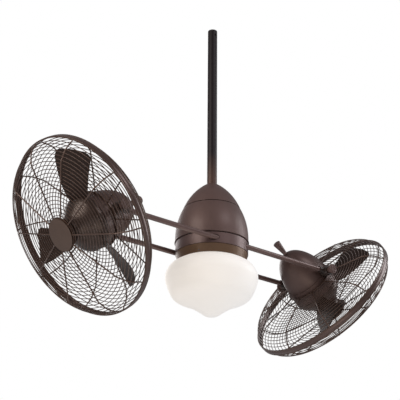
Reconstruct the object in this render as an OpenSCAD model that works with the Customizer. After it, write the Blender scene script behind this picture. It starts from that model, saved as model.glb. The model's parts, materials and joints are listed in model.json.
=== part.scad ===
// Twin head ceiling fan: a downrod carries a domed housing, under which a band with two long arms
// turns for ever. A caged fan head tilts between the arms at each end. An opal globe hangs below.
// Origin: centre of the downrod's top end. +Z up, X along the arms, the light side view is from -Y.
// In a head's own frame Z is the way it blows, X its upper side, and the tilt axis is Y through 0.

/* [Downrod] */
// Outside diameter of the downrod
rod_d = 25.4; // [20:0.2:28]
// Wall of the downrod tube
rod_wall = 2; // [1.2:0.1:3]
// Length of downrod that shows above the housing
rod_show = 465; // [150:5:900]
// Length of downrod inside the coupling and cap
rod_seat = 45; // [36:1:60]
// Diameter of the downrod where it is turned down to enter the cap and coupling
rod_seat_d = 24.9; // [24:0.1:25.4]
// Cross hole near the top end, for the pin of whatever carries the fan
hang_hole_d = 6.5; // [5:0.1:8]
// From the top end of the downrod to that hole
hang_hole_drop = 16; // [10:1:30]

/* [Housing] */
// Radius of the cap's open top, round the downrod
cap_top_r = 14.8; // [14.4:0.1:20]
// Height of the domed cap
cap_h = 72; // [60:1:90]
// Radius of the seam between cap and housing
seam_r = 73; // [68:1:80]
// Height of the housing under the seam
housing_h = 89; // [86:1:120]
// Radius of the housing at its lower edge
housing_r = 91; // [86:1:110]
// Wall of the spun cap, housing, band and fitter
shell_t = 1.6; // [1:0.1:2.5]

/* [Swivel] */
// Radius of the turning band
band_r = 90; // [89:0.5:105]
// Height of the turning band
band_h = 27; // [24:1:40]
// Gap between the band and the housing above it
band_gap = 2; // [0.6:0.1:4]
// Gap between the band and the light fitter below it
fitter_gap = 0.8; // [0.4:0.1:2]
// Radius of the fixed hollow shaft that everything below hangs on
shaft_r = 9; // [8:0.1:10]
// Bore of that shaft
shaft_bore_r = 6; // [4:0.1:6.5]

/* [Arms] */
// Outside diameter of each arm
arm_d = 12.8; // [11:0.2:14]
// Wall of each arm tube
arm_wall = 1.5; // [1:0.1:2.5]
// From the fan's middle plane to the centre of each arm
arm_y = 72.7; // [72.5:0.1:75]
// From the fan's centre to each tilt axis
reach = 324.9; // [315:1:420]
// Radius of the round knuckle at the end of an arm
knuckle_r = 13; // [11:0.5:13.5]
// Radius of the tilt pin
pin_r = 5; // [3:0.5:6]

/* [Heads] */
// Angle between the way a head blows and straight down
tilt = 55; // [20:1:80]
// Radius of the motor can at its rear edge
can_rear_r = 62; // [61:0.1:62.2]
// Radius of the motor can at its front edge
can_front_r = 65; // [63:0.5:65.5]
// From the tilt axis to the motor can's front edge
can_front = 40; // [36:1:42]
// Depth of the domed motor cover behind its seam
dome_depth = 93; // [80:1:110]
// Length of the knob behind the dome
knob_len = 39; // [25:1:50]
// Radius of the knob's wide end
knob_r = 10; // [8:0.5:13]

/* [Cage] */
// Outside radius of the cage's hoop
hoop_r = 210.7; // [190:0.5:214]
// Width of the hoop
hoop_w = 10.5; // [8:0.5:24]
// From the tilt axis to the middle of the hoop
hoop_mid = 65.5; // [62:0.5:70]
// Radius of the straight guard wires
wire_r = 1.6; // [1.2:0.1:2]
// Radius of the fine ring wires
ring_wire_r = 0.9; // [0.6:0.1:1.2]
// Spacing of the ring wires along the guard
ring_pitch = 8.6; // [6:0.2:12]
// Number of straight wires in each guard
spokes = 10; // [6:2:14]
// Radius of the round cap at the front of the cage
cap_disc_r = 37.6; // [32:0.5:45]
// From the tilt axis to the front guard's inner wire ends
front_w = 120.2; // [114:0.5:130]

/* [Rotor] */
// Number of blades on each rotor
blades = 3; // [2:1:5]
// Radius at the blade tips
tip_r = 179.4; // [150:0.2:184]
// Width of a blade across its tip, before its corners are rounded
blade_w = 87; // [50:1:92]
// Thickness of a blade
blade_t = 1.8; // [1.2:0.1:3]
// Pitch of a blade at its root
root_pitch = 29; // [20:1:38]
// Pitch of a blade at its tip
tip_pitch = 19.5; // [14:0.5:28]
// Radius of the motor spindle
spindle_r = 4; // [3:0.5:5]

/* [Light] */
// Height of the light fitter
fitter_h = 20; // [17:1:28]
// Radius of the fitter's lower edge
fitter_low_r = 84.5; // [80:0.5:90]
// Radius of the glass neck inside the fitter
neck_r = 76; // [70:0.5:79]
// Largest radius of the glass globe
globe_r = 113; // [95:1:114]
// From the fitter's lower edge to the globe's lowest point
globe_h = 136.8; // [126.8:0.1:166.8]
// Thickness of the glass
glass_t = 2.5; // [2:0.1:4]
// Radius of the bulb
bulb_r = 30; // [22:0.5:32]

/* [Hidden] */

// Clearances
seat = 0.05;        // between pieces fastened to each other
run = 0.08;         // round a shaft or pin that turns
drop_fit = 0.2;     // between pieces that only drop in
part_gap = 0.3;     // between pieces of different bodies that don't touch
eps = 1;            // how far a cutter runs past what it cuts

bronze = [0.31, 0.25, 0.23];
dark_bronze = [0.22, 0.17, 0.15];
steel = [0.6, 0.6, 0.62];
opal = [0.96, 0.94, 0.9];

// Heights, from the downrod's top end
z_cap = -rod_show;
z_seam = z_cap - cap_h;
z_housing = z_seam - housing_h;
z_band = z_housing - band_gap;
z_arm = z_band - band_h / 2;
z_band_low = z_band - band_h;
z_fitter = z_band_low - fitter_gap;
z_fitter_low = z_fitter - fitter_h;
z_globe = z_fitter_low - globe_h;

// Inside the cap and housing
rod_r = rod_d / 2;
rod_seat_r = rod_seat_d / 2;
z_shoulder = z_cap - 2;
rod_ream_l = 25;
rod_ream_r = 11;
z_ream = z_cap - rod_ream_l;
z_rod_low = z_cap - rod_seat;
pin_drop = 35;
pin_z = z_cap - pin_drop;
coupling_pin_r = 3;
coupling_r = 21;
coupling_top = z_cap - 24;
plate_t = 4;
plate_r = seam_r - shell_t - drop_fit;
z_plate_low = z_seam - plate_t;
flange_r = 36;
flange_t = 4;
bead_r = 1.4;
stator_r = 48;
stator_drop = 23;
stator_top = z_seam - stator_drop;
stator_h = 25;
air_gap = 1;
rotor_t = 12;
rotor_top = stator_top + 4;
rotor_floor_t = 4;
slip_t = 3;
carrier_t = 5;
z_carrier_top = z_arm + arm_d / 2 + seat + carrier_t;
rotor_skirt = 8;
z_rotor_low = stator_top - stator_h - rotor_skirt;
hub_r = 24;
race_t = 4;
ball_r = 2.4;
balls = 14;
race_r = 21;
ball_ring_r = (shaft_r + race_r) / 2 + 1;
race_drop = 8;
z_turn_race = z_carrier_top - carrier_t - race_drop;
z_balls = z_turn_race - race_t - ball_r - seat;
z_fixed_race = z_balls - ball_r - seat;
collar_r = 16;
collar_t = 4;
z_collar = z_fixed_race - race_t - seat;
floor_t = 2.5;
z_floor = z_collar - collar_t;
holder_r = 19;
holder_l = 38;
z_holder = z_floor - floor_t;
z_holder_low = z_holder - holder_l;
shaft_low = z_holder - 9;
cap_screw_r = 13.2;
cap_screw_l = 17.8;
belly_drop = 45;
hip_drop = 47.3;
flare_sag = 3.4;
button_r = 37.6;
button_angle = 40;
hip_in = 20;
side_in = 7.5;
shoulder_in = 9.5;
shoulder_drop = 14;
neck_out = 6;
neck_turn = 1.5;
neck_sag = 1.6;
hip_ease = [-2, 2.1];
hip_wall = [-0.5, 0.8];
bulb_drop = 58;
bulb_waist = 30;
fitter_top_r = band_r - 1;
z_screw = z_fitter_low + 5;
screw_r = 2;
z_neck = z_fitter_low + 11;
z_low_brush = rotor_top + slip_t + part_gap;
brush_l = 9;
brush_w = 18;
carrier_hole_r = 13;
carrier_hole_at = 52;

// Arms and knuckles
arm_r = arm_d / 2;
socket_r = arm_r + 2;
knuckle_in = arm_y - socket_r - 0.4;
knuckle_out = 86;
socket_l = 26;
arm_end = reach - knuckle_r + 3;
knob_gap = 0.3;
knob_out = 101;
knob_disc_t = 6;
knob_neck_r = 8.5;
pin_end = knuckle_out - 2;
clamp_l = 16;
clamp_w = 20;
clamp_drop = 8.5;
clamp_x = 16;

// Heads
can_rear = 3;
can_wall = 2;
end_plate_t = 3;
spigot_t = 2.5;
spigot_l = 12;
dome_power = 1.7;
spigot_r = (can_rear_r - 1 - shell_t) * sqrt(1 - pow(spigot_l / (dome_depth - shell_t), dome_power)) - drop_fit;
bearing_r = 11;
bearing_l = 7;
boss_r = bearing_r + 3;
armature_r = 25;
stack_inset = 5;
stack_front_inset = 10;
stack_rear = can_rear + end_plate_t + stack_inset;
stack_front = can_front - stack_front_inset;
stator_hole_at = 34;
stator_hole_r = 4.5;
knob_stem_r = 4.5;
guard_seat_w = can_rear + 10.8;
rear_guard_w = guard_seat_w + 0.8;
rear_guard_r = 66;
rear_slope = 5.1;
rear_bend_r = 165;
front_guard_r = 33;
front_slope = 4.3;
front_bend_r = 164;
hoop_t = 1.4;
lip = 3.8;
lip_t = 1.2;
guard_end_r = hoop_r - 2.1;
rim_half = 1.7;
front_end_w = hoop_mid + hoop_w / 2 + wire_r;
rear_end_w = hoop_mid - hoop_w / 2 - wire_r;
first_front_ring = 10.4;
first_rear_ring = 10.9;
last_ring_gap = 4.5;
cap_disc_w = front_w + wire_r + seat;
cap_disc_t = 1.2;
cap_disc_rise = 1.4;

// Rotor
bell_r = 65;
bell_nose_r = 30;
bell_rear = can_front + 1.5;
bell_turn = 47;
bell_nose = 101;
bell_t = 2;
blade_mid = 53.5;
blade_rise = 18.2;
blade_sweep = 22.7;
blade_camber = 2.5;
blade_corner = 15;
tip_slant = 2.6;
root_half = 17.4;
left_phase = 95.4;
right_phase = 27.2;
blade_steps = 14;
blade_rows = 6;

// Point list of an arc through a, b and c, in n steps, moved towards its centre by inset
function arc3(a, b, c, n, inset = 0) =
    let (
        d = 2 * (a[0] * (b[1] - c[1]) + b[0] * (c[1] - a[1]) + c[0] * (a[1] - b[1])),
        x = ((a * a) * (b[1] - c[1]) + (b * b) * (c[1] - a[1]) + (c * c) * (a[1] - b[1])) / d,
        y = ((a * a) * (c[0] - b[0]) + (b * b) * (a[0] - c[0]) + (c * c) * (b[0] - a[0])) / d,
        o = [x, y],
        r = norm(a - o) - inset,
        p = atan2(a[1] - y, a[0] - x),
        q0 = atan2(c[1] - y, c[0] - x),
        q = q0 - p > 180 ? q0 - 360 : q0 - p < -180 ? q0 + 360 : q0
    )
    [for (i = [0:n]) let (t = p + (q - p) * i / n) o + r * [cos(t), sin(t)]];

function reverse(v) = [for (i = [len(v) - 1:-1:0]) v[i]];

// Outside radius of the light fitter at a height
function fitter_r_at(z) =
    fitter_low_r + (fitter_top_r - fitter_low_r) * (z - z_fitter_low) / fitter_h;

// A ring or tube turned round Z
module ring(r_in, r_out, z_low, z_top) {
    translate([0, 0, z_low]) rotate_extrude($fn = 96)
        translate([r_in, 0]) square([r_out - r_in, z_top - z_low]);
}

module tube_x(r, x0, x1) {
    translate([x0, 0, 0]) rotate([0, 90, 0]) cylinder(r = r, h = x1 - x0, $fn = 64);
}

module tube_y(r, y0, y1) {
    translate([0, y0, 0]) rotate([-90, 0, 0]) cylinder(r = r, h = y1 - y0, $fn = 64);
}

// ---- Fixed pieces ----

module downrod() {
    color(bronze) difference() {
        union() {
            ring(rod_r - rod_wall, rod_r, z_shoulder, 0);
            ring(rod_r - rod_wall, rod_seat_r, z_ream, z_shoulder);
            ring(rod_ream_r, rod_seat_r, z_rod_low, z_ream);
        }
        translate([0, 0, -hang_hole_drop]) tube_y(hang_hole_d / 2, -rod_r - eps, rod_r + eps);
        translate([0, 0, pin_z]) tube_y(coupling_pin_r + seat, -rod_r - eps, rod_r + eps);
    }
}

module rod_coupling() {
    color(dark_bronze) difference() {
        union() {
            ring(0, coupling_r, z_plate_low - flange_t, coupling_top);
            ring(0, flange_r, z_plate_low - flange_t, z_plate_low - seat);
        }
        ring(0, rod_seat_r + seat, z_rod_low - seat, coupling_top + eps);
        ring(0, shaft_r + seat, z_plate_low - flange_t - eps, z_rod_low - 6);
        ring(0, shaft_bore_r, z_rod_low - 7, z_rod_low);
        translate([0, 0, pin_z]) tube_y(coupling_pin_r + seat, -coupling_r - eps, coupling_r + eps);
    }
}

module coupling_pin() {
    color(steel) translate([0, 0, pin_z]) {
        tube_y(coupling_pin_r, -coupling_r - 3, coupling_r + 1);
        tube_y(coupling_pin_r + 2, coupling_r + 0.5, coupling_r + 3);
    }
}

function cap_outline(inset, n) =
    arc3([seam_r, z_seam], [seam_r * 0.74, z_seam + cap_h * 0.486], [cap_top_r, z_cap], n, inset);

module top_cap() {
    color(bronze) rotate_extrude($fn = 96)
        intersection() {
            polygon(concat(cap_outline(0, 14), reverse(cap_outline(shell_t, 14))));
            translate([cap_top_r, z_seam]) square([seam_r, cap_h]);
        }
}

// The housing's side is an arc that ends upright at its lower edge
function housing_r_at(z) =
    let (
        low = z_housing + 14,
        w = housing_r - seam_r,
        h = z_seam - low,
        big = (w * w + h * h) / (2 * w)
    )
    z < low ? housing_r : housing_r - big + sqrt(big * big - (z - low) * (z - low));

function housing_outline(low, inset, n) =
    [for (i = [0:n]) let (z = z_seam + (low - z_seam) * i / n) [housing_r_at(z) - inset, z]];

module motor_housing() {
    bead_top = z_housing + 2 * bead_r;
    color(bronze) rotate_extrude($fn = 96) polygon(concat(
        housing_outline(bead_top, 0, 12),
        arc3([housing_r, bead_top], [housing_r + bead_r, z_housing + bead_r], [housing_r, z_housing], 6),
        reverse(housing_outline(z_housing, shell_t, 12))
    ));
}

module housing_plate() {
    color(dark_bronze) difference() {
        ring(coupling_r + seat, plate_r, z_plate_low, z_seam);
        for (k = [0:3]) rotate([0, 0, 45 + 90 * k]) translate([flange_r + 16, 0, z_plate_low - eps])
            cylinder(r = 6, h = plate_t + 2 * eps, $fn = 48);
    }
}

module center_shaft() {
    color(steel) difference() {
        union() {
            ring(0, shaft_r, shaft_low, z_rod_low - 7);
            ring(0, collar_r, z_collar - collar_t + seat, z_collar);
        }
        ring(0, shaft_bore_r, shaft_low - eps, z_rod_low);
    }
}

module drive_stator() {
    color("peru") difference() {
        ring(shaft_r + seat, stator_r, stator_top - stator_h, stator_top);
        for (k = [0:11]) rotate([0, 0, 30 * k]) translate([stator_r - 9, 0, stator_top - stator_h - eps])
            cylinder(r = 4, h = stator_h + 2 * eps, $fn = 32);
    }
}

module fixed_race() {
    color(steel) ring(shaft_r + seat, race_r, z_collar + seat, z_fixed_race);
}

module thrust_balls() {
    color("silver") for (k = [0:balls - 1]) rotate([0, 0, 360 * k / balls])
        translate([ball_ring_r, 0, z_balls]) sphere(r = ball_r, $fn = 32);
}

module brush_block() {
    color("black") translate([stator_r + air_gap + 2, -brush_w / 2, z_low_brush])
        cube([brush_l, brush_w, z_plate_low - seat - z_low_brush]);
}

// The floor that the shaft's collar clamps, a press fit in the light fitter
module fitter_plate() {
    color(bronze) ring(shaft_r + seat, fitter_r_at(z_holder) - shell_t - seat, z_holder, z_floor);
}

module light_fitter() {
    color(bronze) difference() {
        rotate_extrude($fn = 96) polygon([
            [fitter_top_r, z_fitter], [fitter_low_r, z_fitter_low],
            [fitter_low_r - shell_t, z_fitter_low], [fitter_top_r - shell_t, z_fitter]
        ]);
        for (k = [0:2]) rotate([0, 0, 120 * k + 90]) translate([0, 0, z_screw])
            tube_x(screw_r + seat, fitter_low_r - 4, band_r + eps);
    }
}
module fitter_screws() {
    color(dark_bronze) for (k = [0:2]) rotate([0, 0, 120 * k + 90]) translate([0, 0, z_screw])
        tube_x(screw_r, neck_r + seat, fitter_low_r + 1.8);
}

module lamp_holder() {
    color("ivory") difference() {
        ring(0, holder_r, z_holder_low, z_holder - seat);
        ring(0, shaft_r + seat, shaft_low - seat, z_holder + eps);
        ring(0, cap_screw_r + part_gap, z_holder_low - eps, z_holder_low + cap_screw_l + drop_fit);
    }
}

// The bulb's side runs from its screw base out to a ball end
module bulb() {
    z_ball = z_holder_low - bulb_drop;
    color(opal) {
        ring(0, cap_screw_r, z_holder_low - 2, z_holder_low + cap_screw_l);
        rotate_extrude($fn = 96) polygon(concat(
            [[0, z_holder_low - 1], [cap_screw_r, z_holder_low - 1]],
            arc3([cap_screw_r + 1.5, z_holder_low - 8], [bulb_r * 0.78, z_holder_low - bulb_waist],
                [bulb_r * 0.995, z_ball + bulb_r * 0.1], 6),
            [for (a = [0:-9:-90]) [bulb_r * cos(a), z_ball + bulb_r * sin(a)]]
        ));
    }
}

// The globe: a straight neck, a round shoulder, a full belly, a flare, and a round button for a foot.
// The arc at the hip rounds the corner between belly and flare.
function globe_outline(t) =
    let (
        belly = z_fitter_low - belly_drop,
        hip = [globe_r - hip_in, belly - hip_drop],
        rise = z_globe + button_r,
        button = [button_r * sin(button_angle), rise - button_r * cos(button_angle)],
        run = hip - button,
        sag = flare_sag * [-run[1], run[0]] / norm(run),
        side = arc3([globe_r, belly], [globe_r - side_in, belly - hip_drop / 2], hip, 12, t),
        flare = arc3(hip, (hip + button) / 2 + sag, button, 12, -t)
    )
    concat(
        [[neck_r - t, z_neck], [neck_r - t, z_fitter_low + neck_turn]],
        arc3([neck_r + neck_out, z_fitter_low - neck_sag],
            [globe_r - shoulder_in, z_fitter_low - shoulder_drop], [globe_r, belly], 8, t),
        [for (i = [1:9]) side[i]],
        arc3(side[9], hip + hip_ease + t * hip_wall, flare[2], 4),
        [for (i = [3:11]) flare[i]],
        [for (a = [button_angle:-8:0]) [(button_r - t) * sin(a), rise - (button_r - t) * cos(a)]]
    );

module glass_globe() {
    color(opal) rotate_extrude($fn = 96)
        difference() {
            polygon(concat([[0, z_neck]], globe_outline(0)));
            polygon(concat([[0, z_neck + eps], [neck_r - glass_t, z_neck + eps]], globe_outline(glass_t)));
        }
}

// ---- Pieces that turn with the band ----

module both_arms_at(x) {
    for (s = [-1, 1]) translate([x, s * arm_y, z_arm]) children();
}

module swivel_band() {
    color(bronze) difference() {
        ring(band_r - shell_t, band_r, z_band_low, z_band);
        both_arms_at(0) tube_x(arm_r + 1.2, -band_r, band_r);
    }
}

module arm_carrier() {
    color(dark_bronze) difference() {
        union() {
            ring(0, band_r - shell_t - seat, z_carrier_top - carrier_t, z_carrier_top);
            ring(0, hub_r, z_turn_race + seat, z_rotor_low - seat);
        }
        ring(0, shaft_r + run, z_turn_race - eps, z_rotor_low + eps);
        for (k = [0:5]) rotate([0, 0, 60 * k])
            translate([carrier_hole_at, 0, z_carrier_top - carrier_t - eps])
            cylinder(r = carrier_hole_r, h = carrier_t + 2 * eps, $fn = 64);
    }
}

module arm_clamps() {
    color(dark_bronze) for (x = [-clamp_x, clamp_x]) both_arms_at(x) difference() {
        translate([-clamp_l / 2, -clamp_w / 2, -clamp_drop])
            cube([clamp_l, clamp_w, clamp_drop + arm_r]);
        tube_x(arm_r + seat, -clamp_l, clamp_l);
    }
}

module arm(side) {
    color(bronze) translate([0, side * arm_y, z_arm]) difference() {
        tube_x(arm_r, -arm_end, arm_end);
        tube_x(arm_r - arm_wall, -arm_end - eps, arm_end + eps);
    }
}

module knuckle() {
    difference() {
        union() {
            tube_y(knuckle_r, knuckle_in, knuckle_out);
            translate([0, arm_y, 0]) tube_x(socket_r, -socket_l, 0);
        }
        tube_y(pin_r + run, knuckle_in - eps, knuckle_out + eps);
        translate([0, arm_y, 0]) tube_x(arm_r + seat, -socket_l - eps, -knuckle_r + 3 + seat);
    }
}

// Puts a piece made on the +X, +Y side at all four arm ends
module four_ends() {
    for (a = [0, 1], b = [0, 1])
        translate([a == 0 ? reach : -reach, 0, z_arm]) mirror([a, 0, 0]) mirror([0, b, 0]) children();
}

module arm_knuckles() {
    color(bronze) four_ends() knuckle();
}

module tilt_knobs() {
    color(bronze) four_ends() {
        tube_y(knob_neck_r, knuckle_out + seat, knob_out - knob_disc_t + 1);
        translate([0, knob_out - knob_disc_t, 0]) rotate([-90, 0, 0]) rotate_extrude($fn = 64)
            polygon(concat(
                [[0, 0], [knuckle_r - 1, 0], [knuckle_r, 1], [knuckle_r, knob_disc_t - 1.6]],
                [for (a = [15:15:75]) [knuckle_r - 2.4 * (1 - cos(a)), knob_disc_t - 1.6 + 1.2 * sin(a)]],
                [[knuckle_r - 3, knob_disc_t - 0.3], [0, knob_disc_t]]
            ));
    }
}

module turning_race() {
    color(steel) ring(shaft_r + part_gap, race_r, z_turn_race - race_t, z_turn_race);
}

module drive_rotor() {
    color("gray") {
        ring(stator_r + air_gap, stator_r + air_gap + rotor_t, z_rotor_low, rotor_top);
        ring(shaft_r + 2, stator_r + air_gap + 1, z_rotor_low, z_rotor_low + rotor_floor_t);
    }
}

module slip_ring() {
    color("goldenrod") ring(stator_r + air_gap + 1, stator_r + air_gap + rotor_t,
        rotor_top + seat, rotor_top + slip_t);
}

// ---- A fan head, in its own frame ----

// Puts a head's frame at its tilt axis: side is 1 for the right head and -1 for the left
module head_frame(side) {
    rotate([0, 0, side > 0 ? 0 : 180]) translate([reach, 0, z_arm])
        rotate([0, -tilt, 0]) rotate([180, 0, 0]) children();
}

// The dome's side view is a blunt curve that runs in to the knob's stem at its tail
function dome_outline(inset, n) =
    let (
        r = can_rear_r - 1 - inset,
        last = acos((knob_stem_r + seat) / r)
    )
    [for (i = [0:n]) let (a = last * i / n)
        [r * cos(a), can_rear - (dome_depth - inset) * pow(sin(a), 2 / dome_power)]];

module dome() {
    color(bronze) difference() {
        rotate_extrude($fn = 96)
            polygon(concat(dome_outline(0, 14), reverse(dome_outline(shell_t, 14))));
        tube_y(pin_r + 0.3, -can_front_r, can_front_r);
    }
}

module knob() {
    z_neck_end = -dome_depth + 3;
    z_tip = z_neck_end - knob_len;
    color(bronze) rotate_extrude($fn = 64) polygon(concat(
        [[0, z_neck_end + 8], [knob_stem_r, z_neck_end + 8], [knob_stem_r, z_neck_end - seat],
         [knob_stem_r + 2.5, z_neck_end - seat]],
        arc3([knob_stem_r + 1, z_neck_end - 2], [knob_stem_r + 2.6, z_neck_end - knob_len * 0.4],
            [knob_r, z_tip + 1.5], 8),
        [[knob_r - 1, z_tip], [0, z_tip - 0.6]]
    ));
}

module motor_can() {
    color(bronze) difference() {
        union() {
            rotate_extrude($fn = 96) polygon([
                [can_rear_r, can_rear + seat], [can_front_r, can_front],
                [can_front_r - can_wall, can_front], [can_rear_r - can_wall, can_rear + seat]
            ]);
            ring(0, can_rear_r - can_wall + 1, can_rear + seat, can_rear + end_plate_t);
            ring(spigot_r - spigot_t, spigot_r, can_rear - spigot_l, can_rear + 1);
            ring(0, boss_r, can_rear - 3, can_rear + 5);
            ring(can_rear_r - 0.5, can_rear_r + 1.4, guard_seat_w - 3, guard_seat_w - seat);
        }
        ring(0, bearing_r + seat, can_rear - 2, can_rear + 6);
        ring(0, spindle_r + 2, can_rear - 4, can_rear);
        tube_y(pin_r + seat, -can_front_r, can_front_r);
    }
}

module can_cover() {
    color(dark_bronze) difference() {
        union() {
            ring(0, can_front_r - can_wall - drop_fit, can_front - 3, can_front);
            ring(0, boss_r, can_front - 8, can_front);
        }
        ring(0, bearing_r + seat, can_front - 9, can_front - 1);
        ring(0, spindle_r + 2, can_front - 2, can_front + eps);
    }
}

module stator() {
    color("peru") difference() {
        ring(armature_r + air_gap, can_rear_r - can_wall - drop_fit, stack_rear, stack_front);
        for (k = [0:11]) rotate([0, 0, 30 * k]) translate([stator_hole_at, 0, can_rear])
            cylinder(r = stator_hole_r, h = can_front, $fn = 32);
    }
}

module bearings() {
    color("silver") {
        ring(spindle_r + run, bearing_r, can_rear - 2, can_rear - 2 + bearing_l);
        ring(spindle_r + run, bearing_r, can_front - 1 - bearing_l, can_front - 1 - seat);
    }
}

module trunnions() {
    color(steel) for (s = [0, 1]) mirror([0, s, 0]) tube_y(pin_r, spigot_r - 8, pin_end);
}

// A guard's side view: a straight run that slopes by slope, then a bend that ends at the hoop
function bend_end(slope, dr, dw) = 2 * atan2(dw, dr) - slope;

module guard_wire(r0, w0, slope, r1, w2, way) {
    w1 = w0 + way * (r1 - r0) * tan(slope);
    dr = guard_end_r - r1;
    end = bend_end(slope, dr, way * (w2 - w1));
    bend = dr / (sin(end) - sin(slope));
    translate([r0, 0, w0]) rotate([0, 90 - way * slope, 0])
        cylinder(r = wire_r + seat, h = (r1 - r0) / cos(slope) + 1, $fn = 32);
    translate([r1 - bend * sin(slope), 0, w1 + way * bend * cos(slope)]) rotate([90, 0, 0])
        rotate([0, 0, way < 0 ? 90 - end : slope - 90])
            rotate_extrude(angle = end - slope, $fn = 96)
                translate([bend, 0]) circle(r = wire_r, $fn = 32);
}

// Radius and height of the guard's inner side at a length s along it, for the ring wires
function guard_point(r0, w0, slope, r1, w2, way, s) =
    let (
        w1 = w0 + way * (r1 - r0) * tan(slope),
        dr = guard_end_r - r1,
        end = bend_end(slope, dr, way * (w2 - w1)),
        bend = dr / (sin(end) - sin(slope)),
        flat = (r1 - r0) / cos(slope),
        a = s < flat ? slope : slope + (s - flat) / bend * 180 / PI,
        off = wire_r + ring_wire_r + seat,
        r = s < flat ? r0 + s * cos(slope) : r1 + bend * (sin(a) - sin(slope)),
        w = s < flat ? w0 + way * s * sin(slope) : w1 + way * bend * (cos(slope) - cos(a))
    )
    [r - off * sin(a), w + way * off * cos(a)];

function guard_length(r0, w0, slope, r1, w2, way) =
    let (
        w1 = w0 + way * (r1 - r0) * tan(slope),
        dr = guard_end_r - r1,
        end = bend_end(slope, dr, way * (w2 - w1)),
        bend = dr / (sin(end) - sin(slope))
    )
    (r1 - r0) / cos(slope) + bend * (end - slope) * PI / 180;

module wire_ring(r, w, thick) {
    translate([0, 0, w]) rotate_extrude($fn = 128) translate([r, 0]) circle(r = thick, $fn = 24);
}

module front_guard() {
    color(dark_bronze) {
        for (k = [0:spokes - 1]) rotate([0, 0, 360 * k / spokes])
            guard_wire(front_guard_r, front_w, front_slope, front_bend_r, front_end_w, -1);
        ring(guard_end_r - rim_half, guard_end_r + rim_half, front_end_w - wire_r, front_end_w + 1.4);
        ring(front_guard_r - 5, front_guard_r + 7, front_w - wire_r - 1.2, front_w - 0.6);
    }
}

module rear_guard() {
    color(dark_bronze) {
        for (k = [0:spokes - 1]) rotate([0, 0, 360 * k / spokes])
            guard_wire(rear_guard_r, rear_guard_w, rear_slope, rear_bend_r, rear_end_w, 1);
        ring(guard_end_r - rim_half, guard_end_r + rim_half, rear_end_w - 1.4, rear_end_w + wire_r);
        ring(can_rear_r + 1.05, rear_guard_r + 1.5, guard_seat_w, guard_seat_w + 2.4);
    }
}

module front_rings() {
    total = guard_length(front_guard_r, front_w, front_slope, front_bend_r, front_end_w, -1);
    color(dark_bronze) for (s = [first_front_ring:ring_pitch:total - last_ring_gap]) {
        p = guard_point(front_guard_r, front_w, front_slope, front_bend_r, front_end_w, -1, s);
        wire_ring(p[0], p[1], ring_wire_r);
    }
}

module rear_rings() {
    total = guard_length(rear_guard_r, rear_guard_w, rear_slope, rear_bend_r, rear_end_w, 1);
    color(dark_bronze) for (s = [first_rear_ring:ring_pitch:total - last_ring_gap]) {
        p = guard_point(rear_guard_r, rear_guard_w, rear_slope, rear_bend_r, rear_end_w, 1, s);
        wire_ring(p[0], p[1], ring_wire_r);
    }
}

module hoop() {
    low = hoop_mid - hoop_w / 2 + seat;
    top = hoop_mid + hoop_w / 2 - seat;
    color(bronze) {
        ring(hoop_r - hoop_t, hoop_r, low, top);
        ring(hoop_r - lip, hoop_r - hoop_t + 0.2, low, low + lip_t);
        ring(hoop_r - lip, hoop_r - hoop_t + 0.2, top - lip_t, top);
    }
}

module cap_disc() {
    color(bronze) {
        rotate_extrude($fn = 96) polygon(concat(
            [[0, cap_disc_w], [cap_disc_r, cap_disc_w]],
            arc3([cap_disc_r, cap_disc_w + cap_disc_t - 0.4],
                [cap_disc_r * 0.6, cap_disc_w + cap_disc_t + cap_disc_rise * 0.64],
                [0, cap_disc_w + cap_disc_t + cap_disc_rise], 6)
        ));
        ring(front_guard_r - 8.5, front_guard_r - 5 - drop_fit, front_w - 5, cap_disc_w + 0.5);
    }
}

// ---- A rotor, in its head's frame ----

module spindle() {
    color(steel) {
        ring(0, spindle_r, can_rear - 1, bell_nose + 1);
        ring(spindle_r - 0.5, armature_r, stack_rear, stack_front);
    }
}

function bell_r_at(w) =
    w < bell_turn ? bell_r
        : bell_nose_r + (bell_r - bell_nose_r) * (1 + cos(180 * (w - bell_turn) / (bell_nose - bell_turn))) / 2;

function bell_outline(inset, n) =
    [for (i = [0:n]) let (w = bell_turn + (bell_nose - bell_turn) * i / n) [bell_r_at(w) - inset, w]];

module hub() {
    color(dark_bronze) {
        rotate_extrude($fn = 96) polygon(concat(
            [[bell_r, bell_rear]], bell_outline(0, 18),
            [[spindle_r + seat, bell_nose], [spindle_r + seat, bell_nose - 24], [spindle_r + 5, bell_nose - 24],
             [spindle_r + 5, bell_nose - bell_t]],
            reverse([for (i = [0:16]) let (w = bell_turn + (bell_nose - bell_turn) * i / 18)
                [bell_r_at(w) - bell_t, w - bell_t * 0.5]]),
            [[bell_r - bell_t, bell_rear]]
        ));
    }
}

// A blade is a thin twisted sheet that widens to a flat tip, sweeps back and leans to the front.
// u runs from root to tip and v across it, both from 0 to 1.
function blade_half(u) =
    let (
        grow = root_half + (blade_w / 2 - root_half) * pow(u, 0.77),
        turn = blade_corner / (tip_r - bell_r),
        end = min(max((u - 1 + turn) / turn, 0), 1)
    )
    grow - blade_corner * (1 - sqrt(1 - end * end));

function blade_point(u, v, side) =
    let (
        pitch = root_pitch + (tip_pitch - root_pitch) * u,
        across = (2 * v - 1) * blade_half(u) - blade_sweep * u * u,
        across0 = (2 * v - 1) * root_half,
        w0 = blade_mid + across0 * tan(root_pitch),
        root = bell_r_at(w0) + drop_fit,
        r = root + (tip_r + tip_slant * (2 * v - 1) - root) * u,
        w = blade_mid + blade_rise * u + across * tan(pitch)
            - blade_camber * (1 - pow(2 * v - 1, 2)) * u + side * blade_t / 2
    )
    [r * cos(across / r * 180 / PI), r * sin(across / r * 180 / PI), w];

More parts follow.
